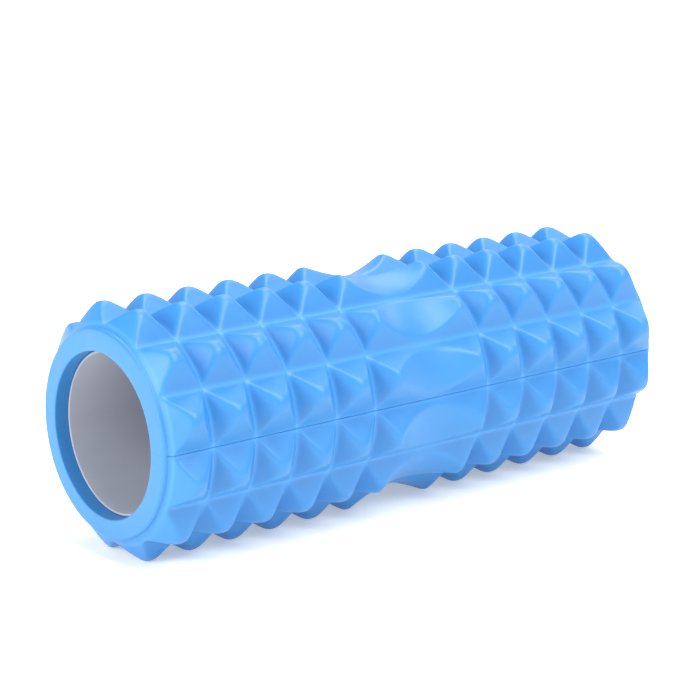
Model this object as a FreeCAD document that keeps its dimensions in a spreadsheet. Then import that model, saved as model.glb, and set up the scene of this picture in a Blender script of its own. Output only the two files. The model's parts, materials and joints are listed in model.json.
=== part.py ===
import FreeCAD, Part
import Sketcher
import os

# A massage roller: a knobbed foam sleeve wrapped round a thin plastic tube and glued to it.
# +X runs along the roller, +Z is up, and the origin is the middle of the tube's bore.
# Round the roller the knobs stand in rows, with a groove at the very top, so it rests on two rows.
# The sleeve is one moulded sheet with one butt joint, in the groove that faces -Y.
# Lengths are in millimetres.

SIZES = [
    ("roller_length", 330.0, "end face to end face"),
    ("tip_radius", 63.4, "knob tips, from the axis"),
    ("knob_height", 9.2, "from the bottom of the grooves to the tips"),
    ("tip_blunting", 2.3, "how far above its tip a knob's flanks would meet"),
    ("foam_wall", 13.1, "foam left under the grooves"),
    ("rim_drop", 4.2, "how far inside the grooves' depth an end's flat ring stops"),
    ("rim_depth", 1.5, "how far the rounding beyond that ring runs along the roller"),
    ("middle_length", 77.0, "the long cell in the middle of each row"),
    ("scoop_depth", 7.4, "how far the middle cells dip below the tips"),
    ("row_count", 12, "rows of knobs round the sleeve"),
    ("column_count", 5, "knobs between the middle cell and an end"),
    ("joint_gap", 0.3, "width of the sleeve's butt joint"),
    ("joint_reveal", 2.5, "how deep the butt joint stays open below its groove"),
    ("joint_setback", 0.5, "how far the adhesive in it stops short of the end faces"),
    ("film_thickness", 0.3, "adhesive between sleeve and tube"),
    ("film_setback", 2.0, "how far that adhesive stops short of the tube's ends"),
    ("tube_wall", 1.2, "wall of the tube"),
    ("tube_recess", 7.5, "how far the tube stops short of the sleeve's end faces"),
    ("tube_bevel", 0.3, "deburred edges at the tube's ends"),
    ("overcut", 4.0, "how far a cutting shape runs past what it cuts"),
]

# Lengths that several sketches share, as expressions on the sheet's cells.
END = "Sizes.roller_length / 2"
VALLEY = "(Sizes.tip_radius - Sizes.knob_height)"
CREST = "(Sizes.tip_radius + Sizes.tip_blunting)"
ABOVE = f"({CREST} + Sizes.overcut)"
BORE = f"({VALLEY} - Sizes.foam_wall)"
RIM = f"({VALLEY} - Sizes.rim_drop)"
RIM_ARC = "((Sizes.rim_drop^2 + Sizes.rim_depth^2) / (2 * Sizes.rim_depth))"
LAST_VALLEY = f"({END} - Sizes.rim_depth)"
MIDDLE_END = "Sizes.middle_length / 2"
PITCH = f"(({LAST_VALLEY} - {MIDDLE_END}) / Sizes.column_count)"
# A notch between two columns passes through the crests half a pitch away on each side.
NOTCH_REACH = f"({PITCH} / 2 * ({ABOVE} - {VALLEY}) / ({CREST} - {VALLEY}))"
# A valley between two rows passes through the crests half a row away on each side.
HALF_ROW = "(180 deg / Sizes.row_count)"
VALLEY_REACH = (
    f"({CREST} * sin({HALF_ROW}) * ({ABOVE} - {VALLEY}) / ({CREST} * cos({HALF_ROW}) - {VALLEY}))"
)
# The scoop in a middle cell is an arc between crests half a pitch inside the cell's ends.
SCOOP_HALF = f"({MIDDLE_END} - {PITCH} / 2)"
SCOOP_DROP = "(Sizes.tip_blunting + Sizes.scoop_depth)"
SCOOP_ARC = f"(({SCOOP_HALF}^2 + {SCOOP_DROP}^2) / (2 * {SCOOP_DROP}))"
TUBE_RADIUS = f"({BORE} - Sizes.film_thickness)"
TUBE_BORE = f"({TUBE_RADIUS} - Sizes.tube_wall)"
TUBE_END = f"({END} - Sizes.tube_recess)"

doc = FreeCAD.newDocument("Roller")


def make_sheet():
    sheet = doc.addObject("Spreadsheet::Sheet", "Sizes")
    for row, (name, value, meaning) in enumerate(SIZES, start=1):
        sheet.set(f"A{row}", name)
        sheet.set(f"B{row}", str(value))
        sheet.set(f"C{row}", meaning)
        sheet.setAlias(f"B{row}", name)
    doc.recompute()


def make_body(name):
    body = doc.addObject("PartDesign::Body", name)
    body.Label = name
    return body


def origin_part(body, role):
    return next(part for part in body.Origin.OriginFeatures if part.Role == role)


def bind(sketch, kind, places, value, text):
    """A constraint whose value follows an expression."""
    number = sketch.addConstraint(Sketcher.Constraint(kind, *places, value))
    sketch.setExpression(f"Constraints[{number}]", text)


def draw(body, name, plane, corners):
    """A closed outline on one of the body's own origin planes.

    Each corner is its two coordinates as expressions. A third expression makes the edge that
    leaves the corner an anticlockwise arc of that radius.
    """
    sketch = body.newObject("Sketcher::SketchObject", name)
    sketch.AttachmentSupport = [(origin_part(body, plane), "")]
    sketch.MapMode = "FlatFace"
    doc.recompute()
    points = []
    for corner in corners:
        x, y = (float(sketch.evalExpression(text)) for text in corner[:2])
        points.append(FreeCAD.Vector(x, y, 0))
    for corner, start, end in zip(corners, points, points[1:] + points[:1]):
        if len(corner) == 3:
            radius = float(sketch.evalExpression(corner[2]))
            half = (end - start).Length / 2
            right = FreeCAD.Vector(end.y - start.y, start.x - end.x, 0).normalize()
            bulge = radius - max(radius**2 - half**2, 0.0) ** 0.5
            sketch.addGeometry(Part.Arc(start, (start + end) / 2 + right * bulge, end), False)
        else:
            sketch.addGeometry(Part.LineSegment(start, end), False)
    for edge, (corner, point) in enumerate(zip(corners, points)):
        following = (edge + 1) % len(corners)
        sketch.addConstraint(Sketcher.Constraint("Coincident", edge, 2, following, 1))
        bind(sketch, "DistanceX", (-1, 1, edge, 1), point.x, corner[0])
        bind(sketch, "DistanceY", (-1, 1, edge, 1), point.y, corner[1])
        if len(corner) == 3:
            bind(sketch, "Radius", (edge,), sketch.Geometry[edge].Radius, corner[2])
    return sketch


def finish(body, feature, before):
    """Makes a feature the body's tip, and stops if it changed nothing."""
    body.Tip = feature
    doc.recompute()
    if abs(body.Shape.Volume - before) < 1.0:
        raise RuntimeError(f"{feature.Label} changed nothing in {body.Label}")
    return feature


def volume(body):
    return 0.0 if body.Shape.isNull() else body.Shape.Volume


def spin(body, kind, name, sketch):
    """Turns a sketch about the roller's axis, to add (Revolution) or to cut (Groove)."""
    before = volume(body)
    feature = body.newObject(f"PartDesign::{kind}", name)
    feature.Profile = sketch
    feature.ReferenceAxis = (sketch, ["H_Axis"])
    feature.Angle = 360
    return finish(body, feature, before)


def run_along(body, kind, name, sketch, length):
    """Runs a sketch along the roller, the same way to both ends, to add (Pad) or cut (Pocket)."""
    before = volume(body)
    feature = body.newObject(f"PartDesign::{kind}", name)
    feature.Profile = sketch
    feature.SideType = "Symmetric"
    feature.setExpression("Length", length)
    return finish(body, feature, before)


def mirror_ends(body, name, original):
    before = volume(body)
    feature = body.newObject("PartDesign::Mirrored", name)
    feature.Originals = [original]
    feature.MirrorPlane = (origin_part(body, "YZ_Plane"), [""])
    return finish(body, feature, before)


def repeat_columns(body, name, original, towards_left):
    before = volume(body)
    feature = body.newObject("PartDesign::LinearPattern", name)
    feature.Originals = [original]
    feature.Direction = (origin_part(body, "X_Axis"), [""])
    feature.Reversed = towards_left
    feature.setExpression("Length", f"{PITCH} * (Sizes.column_count - 1)")
    feature.setExpression("Occurrences", "Sizes.column_count")
    return finish(body, feature, before)


def repeat_rows(body, name, original):
    before = volume(body)
    feature = body.newObject("PartDesign::PolarPattern", name)
    feature.Originals = [original]
    feature.Axis = (origin_part(body, "X_Axis"), [""])
    feature.Angle = 360
    feature.setExpression("Occurrences", "Sizes.row_count")
    return finish(body, feature, before)


def ring_outline(body, name, inner, outer, end):
    """Half the lengthwise section of a tube."""
    return draw(body, name, "XZ_Plane", [
        (f"-{end}", inner),
        (end, inner),
        (end, outer),
        (f"-{end}", outer),
    ])


def make_foam_sleeve():
    body = make_body("foam_sleeve")
    blank = ring_outline(body, "blank_outline", BORE, "Sizes.tip_radius", END)
    spin(body, "Revolution", "blank", blank)

    # The end: a rounded rim, then the outer flank of the last column of knobs.
    outside = f"({END} + Sizes.overcut)"
    shoulder = draw(body, "shoulder_outline", "XZ_Plane", [
        (END, RIM, RIM_ARC),
        (LAST_VALLEY, VALLEY),
        (f"{LAST_VALLEY} - {NOTCH_REACH}", ABOVE),
        (outside, ABOVE),
        (outside, RIM),
    ])
    right_shoulder = spin(body, "Groove", "right_shoulder", shoulder)
    mirror_ends(body, "left_shoulder", right_shoulder)

    # Grooves round the roller, between the columns.
    for side, sign in (("right", "1"), ("left", "-1")):
        notch = draw(body, f"{side}_notch_outline", "XZ_Plane", [
            (f"{sign} * {MIDDLE_END}", VALLEY),
            (f"{sign} * {MIDDLE_END} + {NOTCH_REACH}", ABOVE),
            (f"{sign} * {MIDDLE_END} - {NOTCH_REACH}", ABOVE),
        ])
        first = spin(body, "Groove", f"{side}_notch", notch)
        repeat_columns(body, f"{side}_notches", first, side == "left")

    # The long middle cells dip between their two ends.
    scoop = draw(body, "scoop_outline", "XZ_Plane", [
        (f"-{SCOOP_HALF}", CREST, SCOOP_ARC),
        (SCOOP_HALF, CREST),
        (SCOOP_HALF, ABOVE),
        (f"-{SCOOP_HALF}", ABOVE),
    ])
    spin(body, "Groove", "scoop", scoop)

    # Grooves along the roller, between the rows.
    valley = draw(body, "valley_outline", "YZ_Plane", [
        ("0", VALLEY),
        (VALLEY_REACH, ABOVE),
        (f"-{VALLEY_REACH}", ABOVE),
    ])
    through = "Sizes.roller_length + 2 * Sizes.overcut"
    top_valley = run_along(body, "Pocket", "top_valley", valley, through)
    repeat_rows(body, "valleys", top_valley)

    joint = joint_outline(body, f"{BORE} - Sizes.overcut", f"{VALLEY} + Sizes.overcut")
    run_along(body, "Pocket", "butt_joint", joint, through)
    return body


def joint_outline(body, inner, outer):
    """The butt joint's section, on the side that faces -Y."""
    half_gap = "Sizes.joint_gap / 2"
    return draw(body, "joint_outline", "YZ_Plane", [
        (f"-({outer})", f"-{half_gap}"),
        (f"-({inner})", f"-{half_gap}"),
        (f"-({inner})", half_gap),
        (f"-({outer})", half_gap),
    ])


def make_joint_adhesive():
    body = make_body("joint_adhesive")
    joint = joint_outline(body, BORE, f"{VALLEY} - Sizes.joint_reveal")
    run_along(body, "Pad", "glue_line", joint, "Sizes.roller_length - 2 * Sizes.joint_setback")
    return body


def make_sleeve_adhesive():
    body = make_body("sleeve_adhesive")
    end = f"({TUBE_END} - Sizes.film_setback)"
    film = ring_outline(body, "film_outline", TUBE_RADIUS, BORE, end)
    spin(body, "Revolution", "film", film)
    return body


def make_core_tube():
    body = make_body("core_tube")
    tube = ring_outline(body, "tube_outline", TUBE_BORE, TUBE_RADIUS, TUBE_END)
    spun = spin(body, "Revolution", "tube", tube)
    bevel = body.newObject("PartDesign::Chamfer", "deburring")
    bevel.Base = (spun, end_edges(spun))
    bevel.setExpression("Size", "Sizes.tube_bevel")
    finish(body, bevel, spun.Shape.Volume)
    return body


def end_edges(feature):
    """The names of a tube's round edges, two at each end."""
    names = []
    for number, edge in enumerate(feature.Shape.Edges, start=1):
        box = edge.BoundBox
        if box.XLength < 1e-6 and box.ZLength > 1:
            names.append(f"Edge{number}")
    return names


def check_all(bodies):
    for thing in doc.Objects:
        if "Invalid" in thing.State or "Error" in thing.State:
            raise RuntimeError(f"{thing.Label} failed: {thing.State}")
    for body in bodies:
        shape = body.Shape
        if shape.isNull() or not shape.isValid() or len(shape.Solids) != 1:
            raise RuntimeError(f"{body.Label} isn't one sound solid")


make_sheet()
bodies = [make_foam_sleeve(), make_joint_adhesive(), make_sleeve_adhesive(), make_core_tube()]
doc.recompute()
check_all(bodies)
os.makedirs("parts", exist_ok=True)
for body in bodies:
    body.Shape.exportStep(f"parts/{body.Label}.step")
    box = body.Shape.BoundBox
    print(f"{body.Label}: {body.Shape.Volume / 1000:.1f} cm3, {len(body.Shape.Faces)} faces, "
          f"{box.XLength:.1f} x {box.YLength:.1f} x {box.ZLength:.1f} mm")
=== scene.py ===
"""A foam roller: a knobbed foam sleeve glued round a plastic tube, on a white studio table."""

import json
import math

import bpy
import numpy as np
from mathutils import Euler, Matrix, Vector


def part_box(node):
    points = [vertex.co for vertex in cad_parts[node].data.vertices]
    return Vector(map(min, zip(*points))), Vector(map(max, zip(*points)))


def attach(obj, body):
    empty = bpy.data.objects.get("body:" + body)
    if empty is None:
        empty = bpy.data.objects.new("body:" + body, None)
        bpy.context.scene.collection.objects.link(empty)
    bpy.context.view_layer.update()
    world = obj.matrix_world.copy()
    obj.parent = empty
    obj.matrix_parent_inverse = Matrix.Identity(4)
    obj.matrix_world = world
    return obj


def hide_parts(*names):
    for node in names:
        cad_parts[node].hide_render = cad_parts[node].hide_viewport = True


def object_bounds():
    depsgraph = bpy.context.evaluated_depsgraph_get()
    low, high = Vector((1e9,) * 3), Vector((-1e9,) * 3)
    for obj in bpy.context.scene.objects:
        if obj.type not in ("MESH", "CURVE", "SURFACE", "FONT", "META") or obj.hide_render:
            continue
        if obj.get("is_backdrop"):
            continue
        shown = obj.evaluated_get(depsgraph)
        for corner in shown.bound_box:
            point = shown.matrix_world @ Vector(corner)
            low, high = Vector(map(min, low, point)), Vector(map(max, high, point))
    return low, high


bl_info = {
    "name": "Foam roller",
    "version": (1, 0, 0),
    "blender": (4, 5, 0),
    "location": "3D View > Sidebar > Foam roller",
    "description": "Models a knobbed foam massage roller round its fixed frame",
    "category": "Object",
}

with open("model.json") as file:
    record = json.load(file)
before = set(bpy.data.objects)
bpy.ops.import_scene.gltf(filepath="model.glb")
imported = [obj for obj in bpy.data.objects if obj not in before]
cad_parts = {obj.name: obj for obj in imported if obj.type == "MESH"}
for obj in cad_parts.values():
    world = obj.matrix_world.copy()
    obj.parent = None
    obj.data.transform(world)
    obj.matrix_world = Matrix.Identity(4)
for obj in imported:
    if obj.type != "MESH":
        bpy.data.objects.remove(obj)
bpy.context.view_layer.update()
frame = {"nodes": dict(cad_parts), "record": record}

MM = 0.001
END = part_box("foam_sleeve")[1].x
TUBE_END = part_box("core_tube")[1].x
TUBE_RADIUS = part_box("core_tube")[1].z
FOAM_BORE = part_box("sleeve_adhesive")[1].z
BORE_MOUNT = next(m for m in frame["record"]["mounts"] if m["name"] == "core_bore")

# Blends narrower than this count as sharp edges.
TINY = 1e-9
# Faces that meet at less than this look like one surface.
SMOOTH_ANGLE = math.radians(40)
# How a knob's rounding grows towards its top, and its limit as a share of the height there.
TOP_BLEND_POWER = 2.8
LOW_BLEND_LIMIT = 1.2
# Columns across the sheet's rounded edge at the slit, as shares of its radius.
JOINT_COLUMNS = (0.1, 0.35, 1.0)
# Sines of the elevations between which the studio's white wall fades into its sky.
WALL_TOP = 0.15
SKY_START = 0.4
# Points on the rim's two rounded edges, and steps across the ring between them.
RIM_POINTS = 6
BORE_POINTS = 5
RING_STEPS = 5


# Sizes and colours

def length(name, description, default):
    """A property that holds a distance in metres."""
    return bpy.props.FloatProperty(
        name=name, description=description, default=default, min=0.0, precision=5,
        subtype="DISTANCE", unit="LENGTH",
    )


def angle(name, description, degrees):
    """A property that holds an angle, given here in degrees."""
    return bpy.props.FloatProperty(
        name=name, description=description, default=math.radians(degrees),
        subtype="ANGLE", unit="ROTATION",
    )


def colour(name, description, default):
    """A property that holds a linear colour."""
    return bpy.props.FloatVectorProperty(
        name=name, description=description, default=default, size=3, min=0.0, max=1.0,
        subtype="COLOR",
    )


class SleeveSizes(bpy.types.PropertyGroup):
    """Sizes and colours of the foam sleeve."""

    row_count: bpy.props.IntProperty(
        name="Rows", description="Rows of knobs round the sleeve", default=12, min=3,
    )
    column_count: bpy.props.IntProperty(
        name="Columns", description="Pointed knobs in a row on each side of the long one",
        default=5, min=1,
    )
    cell_steps: bpy.props.IntProperty(
        name="Steps in a half knob", description="Faces from a groove to the top of a knob",
        default=12, min=4,
    )
    middle_length: length("Middle length", "Length of the long knob in the middle", 0.077)
    valley_radius: length("Groove radius", "Radius of the groove floors", 0.0542)
    crest_radius: length("Crest radius", "Radius where the flanks of a knob would meet", 0.0674)
    scoop_radius: length("Scoop radius", "Radius at the bottom of the long knob's scoop", 0.0560)
    scoop_reach: length("Scoop reach", "Half length of the scoop at the crest radius", 0.0316)
    groove_floor: length("Groove floor", "Width of the flat floor of a groove", 0.0010)
    groove_softness: length("Groove softness", "Blend from a groove's floor to its flanks", 0.0012)
    low_softness: length("Low edge softness", "Blend across a knob's edges at the grooves", 0.0004)
    top_softness: length("Top softness", "Blend across a knob's edges at its top", 0.0078)
    scoop_softness: length("Scoop softness", "Blend across the edges of the scoop", 0.0010)
    set_back: length("Set back", "From the end to where the first groove would be", 0.0015)
    collar: length("Collar", "Width of the smooth collar outside the first knobs", 0.0022)
    rim_radius: length("Rim radius", "Largest radius of the collar", 0.0528)
    rim_shift: length("Rim shift", "How much smaller the collar is at its thinnest place", 0.0026)
    rim_turn: angle("Rim turn", "From the joint to the collar's thickest place", 45.0)
    rim_softness: length("Rim edge", "Radius of the edge between the collar and the ring", 0.0012)
    bore_softness: length(
        "Bore edge", "Radius of the edge between the end ring and the bore", 0.0007,
    )
    bore_gap: length("Bore gap", "Width of the joint's slit at the bore", 0.0003)
    joint_gap: length("Joint gap", "Width of the joint's slit where it shows", 0.00006)
    joint_softness: length("Joint edge", "Radius of the sheet's edges at the slit", 0.00045)
    foam: colour("Foam", "Colour of the foam", (0.036, 0.228, 0.58))
    # The grooves' paler colour is a painted highlight: light lines along the groove floors, painted
    # into the foam's colour and fading up the flanks.
    groove_light: colour("Pale foam", "Colour of the foam in the grooves", (0.062, 0.290, 0.68))
    groove_light_reach: length("Pale reach", "Height over which the grooves' colour fades", 0.0006)


class TubeSizes(bpy.types.PropertyGroup):
    """Sizes and colours of the core tube."""

    edge: length("Edge", "Radius of the tube's cut edges", 0.0003)
    plastic: colour("Plastic", "Colour of the tube", (0.41, 0.43, 0.50))


class GlueColours(bpy.types.PropertyGroup):
    """Colours of the two glues."""

    glue: colour("Glue", "Colour of the dried glue", (0.07, 0.19, 0.48))


class StageSizes(bpy.types.PropertyGroup):
    """The table, the lights and the camera."""

    table_size: length("Table", "Side of the square table", 60.0)
    # The table's colour also tints its glow, which is painted light that the table top gives off
    # itself. The warm tint keeps the shadow under the roller from turning blue.
    table_colour: colour("Table colour", "Colour of the table", (0.92, 0.895, 0.82))
    glow: bpy.props.FloatProperty(
        name="Glow", description="Light that comes up through the table", default=0.38, min=0.0,
    )
    sky: bpy.props.FloatProperty(
        name="Sky", description="Strength of the even light from overhead", default=0.25, min=0.0,
    )
    softness: angle("Softness", "Width of each lamp as seen from the object", 24.0)
    lamp_distance: length("Lamps", "From the object to each lamp", 2.0)
    aim: bpy.props.FloatVectorProperty(
        name="Aim", description="Point that the camera looks at",
        default=(-0.0030, 0.0072, 0.0155), size=3, subtype="XYZ", unit="LENGTH", precision=5,
    )
    distance: length("Distance", "From the camera to the point that it looks at", 1.1164)
    azimuth: angle("Azimuth", "Direction of the camera round the object", -39.80)
    elevation: angle("Elevation", "Height of the camera over the horizon", 12.75)
    roll: angle("Roll", "Turn of the camera about its own axis", -0.915)
    lens: bpy.props.FloatProperty(
        name="Lens", description="Focal length in millimetres on a 36 mm sensor",
        default=108.82, min=1.0,
    )


class RollerSettings(bpy.types.PropertyGroup):
    """All that a user can change."""

    sleeve: bpy.props.PointerProperty(type=SleeveSizes, name="Sleeve", description="Foam sleeve")
    tube: bpy.props.PointerProperty(type=TubeSizes, name="Tube", description="Core tube")
    glue: bpy.props.PointerProperty(type=GlueColours, name="Glue", description="Glues")
    stage: bpy.props.PointerProperty(type=StageSizes, name="Stage", description="Stage")


# Shader maths

class Value:
    """A shader socket that can be added and scaled."""

    def __init__(self, shader, socket):
        self.shader = shader
        self.socket = socket

    def math(self, operation, first, second):
        return self.shader.node("ShaderNodeMath", {"operation": operation}, {0: first, 1: second})

    def __add__(self, other):
        return self.math("ADD", self, other)

    def __radd__(self, other):
        return self.math("ADD", other, self)

    def __rmul__(self, other):
        return self.math("MULTIPLY", other, self)


class Shader:
    """A material and the nodes in it."""

    def __init__(self, name):
        self.material = bpy.data.materials.new(name)
        self.material.use_nodes = True
        self.tree = self.material.node_tree
        self.tree.nodes.clear()

    def node(self, kind, settings=None, inputs=None, output=0):
        """One node: its settings first, then the values or links of its sockets."""
        made = self.tree.nodes.new(kind)
        for name, value in (settings or {}).items():
            setattr(made, name, value)
        for key, value in (inputs or {}).items():
            if isinstance(value, Value):
                self.tree.links.new(value.socket, made.inputs[key])
            else:
                made.inputs[key].default_value = value
        return Value(self, made.outputs[output] if made.outputs else None)

    def place(self, scale=(1.0, 1.0, 1.0)):
        """The point on the object, in its own coordinates, scaled."""
        point = self.node("ShaderNodeTexCoord", output="Object")
        return self.node("ShaderNodeMapping", None, {"Vector": point, "Scale": scale})

    def noise(self, point, scale, detail=2.0, roughness=0.5):
        """Smooth random values about one half."""
        inputs = {"Vector": point, "Scale": scale, "Detail": detail, "Roughness": roughness}
        return self.node("ShaderNodeTexNoise", None, inputs)

    def between(self, factor, first, second):
        """A colour between two others."""
        inputs = {0: factor, 6: first, 7: second}
        return self.node("ShaderNodeMix", {"data_type": "RGBA"}, inputs, 2)

    def bump(self, height, strength, distance):
        """A normal that follows a height."""
        inputs = {"Height": height, "Strength": strength, "Distance": distance}
        return self.node("ShaderNodeBump", None, inputs)

    def finish(self, sockets):
        """The surface shader and the output; returns the material."""
        surface = self.node("ShaderNodeBsdfPrincipled", None, sockets)
        self.node("ShaderNodeOutputMaterial", None, {"Surface": surface})
        return self.material


def shade(rgb, factor=1.0):
    """A colour with alpha, made lighter or darker."""
    return (*[min(1.0, part * factor) for part in rgb], 1.0)


def foam_material(rgb, groove_light):
    """Moulded closed-cell foam: soft sheen, faint mottling, a painted highlight in the grooves,
    waves and a fine skin.
    """
    shader = Shader("blue foam")
    point = shader.place()
    mottle = shader.noise(point, scale=45.0, detail=3.0)
    waves = shader.noise(point, scale=70.0)
    skin = shader.noise(point, scale=1400.0, detail=3.0, roughness=0.6)
    # The groove attribute marks the painted groove highlight, which is mixed into the base colour
    # below.
    groove = shader.node("ShaderNodeAttribute", {"attribute_name": "groove"}, output="Fac")
    body = shader.between(mottle, shade(rgb, 0.94), shade(rgb, 1.06))
    return shader.finish({
        "Base Color": shader.between(groove, body, shade(groove_light)),
        "Roughness": 0.35 + 0.1 * mottle,
        "Specular IOR Level": 0.5,
        "Normal": shader.bump(waves + 0.06 * skin, strength=0.8, distance=0.0005),
    })


def plastic_material(rgb):
    """Extruded pipe: satin, with faint lines along it."""
    shader = Shader("grey plastic")
    along = shader.place(scale=(3.0, 220.0, 220.0))
    streaks = shader.noise(along, scale=1.0, detail=4.0)
    return shader.finish({
        "Base Color": shader.between(streaks, shade(rgb, 0.95), shade(rgb, 1.05)),
        "Roughness": 0.45 + 0.1 * streaks,
        "Normal": shader.bump(streaks, strength=0.05, distance=0.0002),
    })


def glue_material(rgb):
    """Dried contact glue."""
    shader = Shader("dried glue")
    lumps = shader.noise(shader.place(), scale=300.0, detail=3.0)
    return shader.finish({
        "Base Color": shader.between(lumps, shade(rgb, 0.8), shade(rgb, 1.2)),
        "Roughness": 0.5 + 0.2 * lumps,
        "Normal": shader.bump(lumps, strength=0.3, distance=0.0002),
    })


def table_material(rgb, glow):
    """A plain matt table top whose surface glows as if lit from below: a painted glow, not a lamp.
    """
    shader = Shader("white table")
    grain = shader.noise(shader.place(), scale=3.0)
    return shader.finish({
        "Base Color": shader.between(grain, shade(rgb, 0.998), shade(rgb, 1.002)),
        "Roughness": 0.9,
        "Specular IOR Level": 0.1,
        "Emission Color": shade(rgb),
        "Emission Strength": glow,
    })


# Modelling helpers

def deselect():
    """Leaves object mode with nothing selected."""
    if bpy.context.object and bpy.context.object.mode != "OBJECT":
        bpy.ops.object.mode_set(mode="OBJECT")
    bpy.ops.object.select_all(action="DESELECT")


def added(name):
    """Names the object that an add operator has just made, and applies its place."""
    made = bpy.context.object
    made.name = name
    made.data.name = name
    bpy.ops.object.transform_apply(location=True, rotation=True, scale=True)
    return made


def apply_modifier(made, kind, **settings):
    """Adds a modifier and applies it."""
    modifier = made.modifiers.new(kind.lower(), kind)
    for name, value in settings.items():
        setattr(modifier, name, value)
    bpy.ops.object.modifier_apply(modifier=modifier.name)


def dress(made, material):
    """Gives an object one material."""
    made.data.materials.clear()
    made.data.materials.append(material)


# The foam sleeve

def soft_min(first, second, softness):
    """The smaller of two heights, with the edge between them rounded."""
    softness = np.maximum(softness, TINY)
    near = np.maximum(softness - np.abs(first - second), 0.0)
    return np.minimum(first, second) - near**2 / (4 * softness)


def rising(steps, reach, first):
    """Distances from a groove to the top of a knob; the first step is the groove's half floor."""
    return np.concatenate([[0.0, first], np.linspace(first, reach, steps)[1:]])


def knob_line(reach, extra, steps, first):
    """Distances across one knob, from groove to groove, with extra length in its middle."""
    side = rising(steps, reach, first)
    total = 2 * reach + extra
    if not extra:
        return np.concatenate([side, total - side[-2::-1]])
    count = round(extra / (reach / steps))
    middle = np.linspace(reach, total - reach, count + 1)[1:-1]
    return np.concatenate([side, middle, total - side[::-1]])


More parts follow.
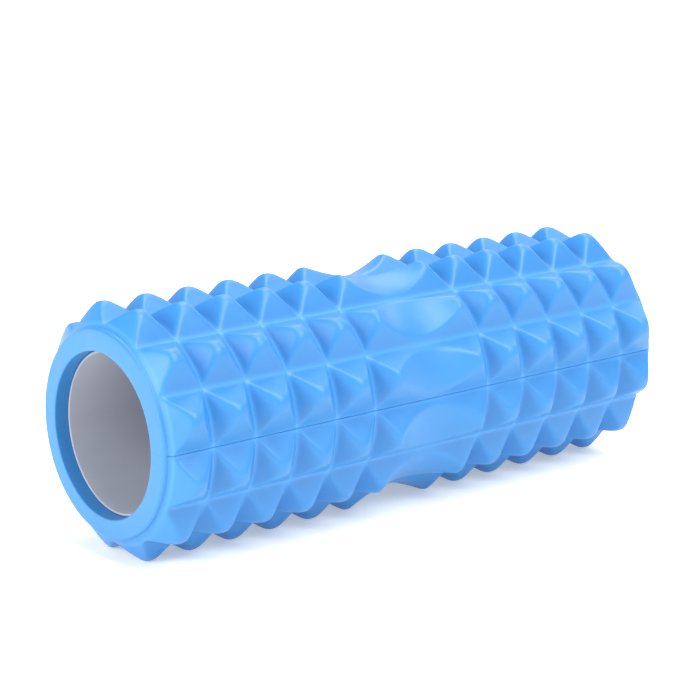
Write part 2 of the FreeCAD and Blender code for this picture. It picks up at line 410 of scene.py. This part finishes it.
class Relief:
    """The outer surface of the sleeve, worked out from its sizes."""

    def __init__(self, sizes):
        self.sizes = sizes
        self.last_valley = END - sizes.set_back
        outer = self.last_valley - sizes.middle_length / 2
        self.pitch = outer / sizes.column_count
        self.half_row = math.pi / sizes.row_count
        self.rise = sizes.crest_radius - sizes.valley_radius
        self.slope = self.rise / (self.pitch / 2)
        self.last_crest = self.last_valley - self.pitch / 2
        self.end_run = END - sizes.collar - self.last_crest
        drop = sizes.crest_radius - sizes.scoop_radius
        self.scoop_arc = (sizes.scoop_reach**2 + drop**2) / (2 * drop)

    def lengthwise(self):
        """Places along the sleeve, from one collar to the other."""
        sizes, places = self.sizes, []
        start = -self.last_valley
        for cell in range(2 * sizes.column_count + 1):
            middle = cell == sizes.column_count
            extra = sizes.middle_length - self.pitch if middle else 0.0
            line = knob_line(self.pitch / 2, extra, sizes.cell_steps, sizes.groove_floor / 2)
            places.extend(start + line[:-1])
            start += self.pitch + extra
        places = np.array(places + [self.last_valley])
        past = np.maximum(np.abs(places) - self.last_crest, 0.0)
        short = 1.0 - self.end_run / (self.pitch / 2)
        return places - np.sign(places) * past * short

    def crosswise(self):
        """Angles round the sleeve from its joint, all the way round to the joint again.

        The sheet's rounded edge has to end on the groove's floor, or the columns would cross.
        """
        sizes = self.sizes
        floor = sizes.groove_floor / 2 / sizes.valley_radius
        line = knob_line(self.half_row, 0.0, sizes.cell_steps, floor)
        turns = [2 * self.half_row * row + line[:-1] for row in range(sizes.row_count)]
        edge = sizes.joint_gap / 2 + sizes.joint_softness * np.array(JOINT_COLUMNS)
        edge = edge / sizes.valley_radius
        inner = np.concatenate(turns)[2:]
        return np.concatenate([[0.0], edge, inner, 2 * math.pi - edge[::-1], [2 * math.pi]])

    def from_groove(self, away):
        """Distance from the edge of a groove's floor, with the corner there rounded."""
        past = away - self.sizes.groove_floor / 2
        return -soft_min(-past, np.zeros_like(past), self.sizes.groove_softness)

    def rim(self, turn):
        """Radius of the collar at an angle from the joint."""
        sizes = self.sizes
        return sizes.rim_radius - sizes.rim_shift * (1 - np.cos(turn - sizes.rim_turn)) / 2

    def joint_drop(self, turn):
        """How far the surface falls where the sheet's edge is rounded at the slit."""
        soft = self.sizes.joint_softness
        away = np.minimum(turn, 2 * math.pi - turn) * self.sizes.valley_radius
        away = np.clip(away - self.sizes.joint_gap / 2, 0.0, soft)
        return soft - np.sqrt(soft**2 - (soft - away)**2)

    def slopes(self, along, turn):
        """Heights over the grooves of the flanks that face along and across the sleeve."""
        sizes = self.sizes
        from_middle = np.abs(along) - sizes.middle_length / 2
        share = np.mod(from_middle, self.pitch)
        down = self.from_groove(share) * self.slope
        up = self.from_groove(self.pitch - share) * self.slope
        past = (np.abs(along) - self.last_crest) / self.end_run
        to_rim = self.rise - (sizes.crest_radius - self.rim(turn)) * past
        up = np.where(past > 0, to_rim, up)
        inner = self.from_groove(-from_middle) * self.slope
        top = sizes.top_softness
        ends = np.where(from_middle < 0, inner, soft_min(down, up, top))
        side = np.mod(turn, 2 * self.half_row)
        near, far = self.flank(side), self.flank(2 * self.half_row - side)
        return ends, soft_min(near, far, top)

    def groove_light_share(self, along, turn):
        """Share of the painted groove highlight: one in a groove, falling to nothing up the flanks.
        """
        height = np.minimum(*self.slopes(along, turn))
        return np.exp(-(height / self.sizes.groove_light_reach)**2)

    def radius(self, along, turn):
        """Radius of the surface at a place along the sleeve and an angle from the joint."""
        sizes = self.sizes
        ends, roof = self.slopes(along, turn)
        top = sizes.top_softness
        inside = np.abs(along) < sizes.middle_length / 2
        scoop = sizes.scoop_radius - sizes.valley_radius + self.scoop_arc
        scoop = scoop - np.sqrt(self.scoop_arc**2 - np.minimum(np.abs(along), self.scoop_arc)**2)
        height = np.minimum(ends, roof)
        share_up = np.clip(height / self.rise, 0.0, 1.0)
        blend = sizes.low_softness + (top - sizes.low_softness) * share_up**TOP_BLEND_POWER
        knob = soft_min(ends, roof, np.minimum(blend, LOW_BLEND_LIMIT * height + TINY))
        cut = soft_min(knob, scoop, sizes.scoop_softness)
        return sizes.valley_radius + np.where(inside, cut, knob)

    def flank(self, side):
        """Height of a flat flank at an angle from the groove below it."""
        sizes = self.sizes
        half_floor = sizes.groove_floor / 2 / sizes.valley_radius
        softened = self.from_groove(side * sizes.valley_radius)
        side = np.clip(softened / sizes.valley_radius, 0.0, None)
        reach = self.half_row - half_floor
        lean = sizes.crest_radius * math.cos(reach) - sizes.valley_radius
        lean = lean / (sizes.crest_radius * math.sin(reach))
        return sizes.valley_radius * (1 / (np.cos(side) - lean * np.sin(side)) - 1)


def arc_points(centre, radius, first, last, count):
    """Points on an arc in the plane of length and radius, angles in degrees."""
    turns = np.radians(np.linspace(first, last, count))
    return np.stack([centre[0] + radius * np.cos(turns), centre[1] + radius * np.sin(turns)], 1)


def rim_points(sizes):
    """The right-hand rim, from the collar over the flat ring to the bore.

    Each point is a place along the sleeve, a radius, and how much of the collar's radius is
    added to it.
    """
    soft = sizes.rim_softness
    corner = arc_points((END - soft, -soft), soft, 90.0, 0.0, RIM_POINTS)
    corner = np.column_stack([corner, np.ones(len(corner))])
    share = np.linspace(1.0, 0.0, RING_STEPS + 1)[1:-1]
    foot = FOAM_BORE + sizes.bore_softness
    ring = np.column_stack([np.full(len(share), END), foot - share * (foot + soft), share])
    centre = (END - sizes.bore_softness, foot)
    edge = arc_points(centre, sizes.bore_softness, 0.0, -90.0, BORE_POINTS)
    edge = np.column_stack([edge, np.zeros(len(edge))])
    lip = [[TUBE_END, FOAM_BORE, 0.0]]
    return np.concatenate([corner, ring, edge, lip])


def make_sleeve(sizes):
    """The sleeve: a sheet wrapped lengthwise into a closed section, then round into a tube."""
    relief = Relief(sizes)
    along, turns = relief.lengthwise(), relief.crosswise()
    right = rim_points(sizes)
    left = (right * (-1.0, 1.0, 1.0))[::-1]
    fixed = np.concatenate([right, left])
    unset = np.zeros(len(along))
    around, section = len(turns) - 1, len(along) + len(fixed)
    deselect()
    bpy.ops.mesh.primitive_grid_add(x_subdivisions=around, y_subdivisions=section, size=1.0)
    made = added("foam_sleeve_moulded")
    places = np.empty(len(made.data.vertices) * 3)
    made.data.vertices.foreach_get("co", places)
    places = places.reshape(-1, 3)
    column = np.rint((places[:, 0] + 0.5) * around).astype(int)
    step = np.rint((places[:, 1] + 0.5) * section).astype(int) % section
    turn = turns[column]
    outside = step < len(along)
    place = np.concatenate([along, fixed[:, 0]])[step]
    radius = np.concatenate([unset, fixed[:, 1]])[step]
    radius = radius + np.concatenate([unset, fixed[:, 2]])[step] * relief.rim(turn)
    radius = np.where(outside, relief.radius(place, turn) - relief.joint_drop(turn), radius)
    at_bore = radius < FOAM_BORE + sizes.bore_softness
    gap = np.where(at_bore, sizes.bore_gap, sizes.joint_gap) / 2 / radius
    turn = np.clip(turn, gap, 2 * math.pi - gap)
    places[:, 0] = place
    places[:, 1] = -radius * np.cos(turn)
    places[:, 2] = radius * np.sin(turn)
    made.data.vertices.foreach_set("co", places.ravel())
    # The groove attribute stores where the painted groove highlight falls.
    groove = made.data.attributes.new("groove", "FLOAT", "POINT")
    groove.data.foreach_set("value", np.where(outside, relief.groove_light_share(place, turn), 0.0))
    made.data.update()
    close_sheet()
    return made


def close_sheet():
    """Welds the section's ends, fills the two joint faces and turns the faces outwards."""
    bpy.ops.object.mode_set(mode="EDIT")
    bpy.ops.mesh.select_all(action="SELECT")
    bpy.ops.mesh.remove_doubles(threshold=1e-6)
    bpy.ops.mesh.select_all(action="DESELECT")
    bpy.ops.mesh.select_non_manifold()
    bpy.ops.mesh.edge_face_add()
    bpy.ops.mesh.select_all(action="SELECT")
    bpy.ops.mesh.normals_make_consistent(inside=False)
    bpy.ops.object.mode_set(mode="OBJECT")
    bpy.ops.object.shade_smooth_by_angle(angle=SMOOTH_ANGLE)


class ROLLER_OT_sleeve(bpy.types.Operator):
    """Model the moulded foam sleeve"""

    bl_idname = "roller.sleeve"
    bl_label = "Foam sleeve"

    def execute(self, context):
        sizes = context.scene.roller.sleeve
        sleeve = make_sleeve(sizes)
        dress(sleeve, foam_material(sizes.foam, sizes.groove_light))
        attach(sleeve, "root")
        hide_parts("foam_sleeve")
        return {"FINISHED"}


# The core tube

class ROLLER_OT_tube(bpy.types.Operator):
    """Model the plastic core tube"""

    bl_idname = "roller.tube"
    bl_label = "Core tube"

    def execute(self, context):
        sizes = context.scene.roller.tube
        wall = TUBE_RADIUS - BORE_MOUNT["dims"]["r_mm"] * MM
        deselect()
        bpy.ops.mesh.primitive_cylinder_add(
            vertices=192, radius=TUBE_RADIUS, depth=2 * TUBE_END, end_fill_type="NOTHING",
            rotation=(0.0, math.pi / 2, 0.0),
        )
        tube = added("core_tube_extruded")
        apply_modifier(tube, "SOLIDIFY", thickness=wall, offset=-1.0, use_even_offset=True)
        apply_modifier(
            tube, "BEVEL", width=sizes.edge, segments=3, limit_method="ANGLE",
            angle_limit=math.radians(60),
        )
        bpy.ops.object.shade_smooth_by_angle(angle=SMOOTH_ANGLE)
        dress(tube, plastic_material(sizes.plastic))
        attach(tube, "root")
        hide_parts("core_tube")
        return {"FINISHED"}


# The glues

class ROLLER_OT_glue(bpy.types.Operator):
    """Finish the two glues"""

    bl_idname = "roller.glue"
    bl_label = "Glues"

    def execute(self, context):
        material = glue_material(context.scene.roller.glue.glue)
        for name in ("sleeve_adhesive", "joint_adhesive"):
            dress(frame["nodes"][name], material)
        return {"FINISHED"}


# The stage

# Each lamp's name, its azimuth from -Y towards +X, its elevation, both in degrees, and its
# strength.
LIGHTS = (
    ("low left", 270, 8, 1.0),
    ("left", 270, 26, 1.3),
    ("high left", 270, 42, 0.4),
    ("front right", 20, 42, 1.15),
    ("high front", 0, 60, 0.65),
    ("high front right", 45, 65, 1.0),
    ("low right", 100, 32, 0.4),
    ("back right", 135, 60, 0.7),
    ("low back right", 135, 35, 0.35),
    ("overhead", 0, 90, 0.6),
)


def direction(azimuth, elevation):
    """The direction from the object at an azimuth and an elevation, in degrees."""
    turn, height = math.radians(azimuth), math.radians(elevation)
    flat = math.cos(height)
    return Vector((math.sin(turn) * flat, -math.cos(turn) * flat, math.sin(height)))


def add_light(name, azimuth, elevation, strength, sizes):
    """A soft lamp that lights the object from one direction, wherever it stands."""
    light = bpy.data.lights.new(name, "SUN")
    light.angle = sizes.softness
    light.energy = strength
    back = direction(azimuth, elevation)
    made = bpy.data.objects.new(name, light)
    made.location = back * sizes.lamp_distance
    made.rotation_euler = back.to_track_quat("Z", "Y").to_euler()
    bpy.context.scene.collection.objects.link(made)


def studio_world(sky):
    """A white wall all round, up to the sky's dimmer light overhead."""
    world = bpy.data.worlds.new("studio")
    world.use_nodes = True
    nodes, links = world.node_tree.nodes, world.node_tree.links
    background = nodes["Background"]
    background.inputs["Color"].default_value = (1.0, 1.0, 1.0, 1.0)
    toward = nodes.new("ShaderNodeTexCoord")
    parts = nodes.new("ShaderNodeSeparateXYZ")
    fade = nodes.new("ShaderNodeMapRange")
    ends = {"From Min": WALL_TOP, "From Max": SKY_START, "To Min": 1.0, "To Max": sky}
    for name, value in ends.items():
        fade.inputs[name].default_value = value
    links.new(toward.outputs["Generated"], parts.inputs["Vector"])
    links.new(parts.outputs["Z"], fade.inputs["Value"])
    links.new(fade.outputs["Result"], background.inputs["Strength"])
    return world


class ROLLER_OT_stage(bpy.types.Operator):
    """Set the table, the lights and the camera"""

    bl_idname = "roller.stage"
    bl_label = "Stage"

    def execute(self, context):
        sizes = context.scene.roller.stage
        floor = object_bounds()[0].z
        deselect()
        bpy.ops.mesh.primitive_plane_add(size=sizes.table_size, location=(0.0, 0.0, floor))
        table = added("table")
        dress(table, table_material(sizes.table_colour, sizes.glow))
        table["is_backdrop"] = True
        context.scene.world = studio_world(sizes.sky)
        context.scene.view_settings.view_transform = "Standard"
        for light in LIGHTS:
            add_light(*light, sizes)
        camera = bpy.data.cameras.new("camera")
        camera.lens = sizes.lens
        camera.sensor_width = 36.0
        camera.clip_start = 0.01
        camera.clip_end = 100.0
        made = bpy.data.objects.new("camera", camera)
        context.scene.collection.objects.link(made)
        place_camera(made, sizes)
        context.scene.camera = made
        return {"FINISHED"}


def place_camera(made, sizes):
    """Puts the camera at its distance from the aim, looking at it."""
    turn = Euler((math.pi / 2 - sizes.elevation, 0.0, sizes.azimuth)).to_matrix()
    turn = turn @ Matrix.Rotation(sizes.roll, 3, "Z")
    back = turn @ Vector((0.0, 0.0, 1.0))
    made.matrix_world = turn.to_4x4()
    made.location = Vector(sizes.aim) + back * sizes.distance


class ROLLER_PT_panel(bpy.types.Panel):
    """The roller's pieces and sizes"""

    bl_idname = "ROLLER_PT_panel"
    bl_label = "Foam roller"
    bl_space_type = "VIEW_3D"
    bl_region_type = "UI"
    bl_category = "Foam roller"

    def draw(self, context):
        settings = context.scene.roller
        groups = (
            (settings.stage, ROLLER_OT_stage),
            (settings.sleeve, ROLLER_OT_sleeve),
            (settings.tube, ROLLER_OT_tube),
            (settings.glue, ROLLER_OT_glue),
        )
        for group, operator in groups:
            box = self.layout.box()
            for name in group.__annotations__:
                box.prop(group, name)
            box.operator(operator.bl_idname)


CLASSES = (
    SleeveSizes, TubeSizes, GlueColours, StageSizes, RollerSettings,
    ROLLER_OT_stage, ROLLER_OT_sleeve, ROLLER_OT_tube, ROLLER_OT_glue, ROLLER_PT_panel,
)


def register():
    """Adds the classes and the settings to Blender."""
    for item in CLASSES:
        bpy.utils.register_class(item)
    bpy.types.Scene.roller = bpy.props.PointerProperty(type=RollerSettings)


def unregister():
    """Takes them out again."""
    del bpy.types.Scene.roller
    for item in reversed(CLASSES):
        bpy.utils.unregister_class(item)


def main():
    """Makes the whole scene."""
    register()
    bpy.ops.roller.sleeve()
    bpy.ops.roller.tube()
    bpy.ops.roller.glue()
    bpy.ops.roller.stage()


if __name__ == "__main__":
    main()
